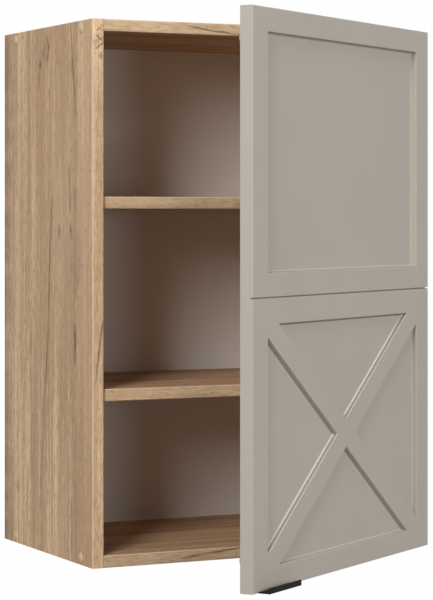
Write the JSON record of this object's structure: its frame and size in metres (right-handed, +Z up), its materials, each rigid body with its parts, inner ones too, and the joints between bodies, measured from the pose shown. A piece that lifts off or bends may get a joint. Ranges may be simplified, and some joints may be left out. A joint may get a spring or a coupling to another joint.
{
  "type": "kitchen wall cabinet",
  "caption": "Oak-look kitchen wall cabinet with shelves behind a hinged greige door, milled with a plain field above a crossed field, and a dark edge pull under the door's free corner.",
  "frame": {"origin": "on the wall plane, mid-width, level with the underside of the carcass", "axes": "+X to the right seen from the front, +Y to the wall, +Z up; the door is on the -Y side with its hinges on the +X side"},
  "size_m": [0.5032, 0.6142, 0.72],
  "materials": {
    "oak_board": "matt printed oak, grain upright on the sides and along the shelves",
    "oak_edging": "matt printed oak strip, grain along the edge",
    "back_sheet": "smooth pale lacquer",
    "dowel_wood": "plain turned beech",
    "zinc_steel": "zinc plated",
    "cap_plastic": "matt, close to the board's colour",
    "white_plastic": "matt moulded",
    "nickel_steel": "nickel plated",
    "door_film": "soft matt film over fibreboard",
    "black_metal": "matt black coat",
    "clear_bumper": "translucent soft dot"
  },
  "bodies": {
    "carcass": {"left_side": "oak_board", "right_side": "oak_board", "bottom_panel": "oak_board", "top_panel": "oak_board", "lower_shelf": "oak_board", "upper_shelf": "oak_board", "side_edge_bands": "oak_edging", "bottom_edge_band": "oak_edging", "top_edge_band": "oak_edging", "lower_shelf_edge_band": "oak_edging", "upper_shelf_edge_band": "oak_edging", "back_panel": "back_sheet", "dowels": "dowel_wood", "confirmat_screws": "zinc_steel", "screw_caps": "cap_plastic", "shelf_supports": "zinc_steel", "left_hanger_housing": "white_plastic", "right_hanger_housing": "white_plastic", "left_hanger_hook": "zinc_steel", "right_hanger_hook": "zinc_steel", "hanger_screws": "zinc_steel", "hanger_wall_plates": "zinc_steel", "lower_hinge_plate": "nickel_steel", "upper_hinge_plate": "nickel_steel", "hinge_plate_screws": "zinc_steel", "lower_hinge_arm": "nickel_steel", "upper_hinge_arm": "nickel_steel", "hinge_arm_screws": "zinc_steel"},
    "door": {"door_panel": "door_film", "lower_hinge_pin": "nickel_steel", "upper_hinge_pin": "nickel_steel", "lower_hinge_cup": "nickel_steel", "upper_hinge_cup": "nickel_steel", "hinge_cup_screws": "zinc_steel", "edge_pull": "black_metal", "edge_pull_screws": "zinc_steel", "door_bumpers": "clear_bumper"}
  },
  "joints": [
    {"name": "door_swing", "type": "hinge", "parent": "carcass", "child": "door", "pos_m": [0.2408, -0.3315, 0.36], "axis": [0, 0, 1], "range_deg": [-33.35, 66.65]}
  ]
}
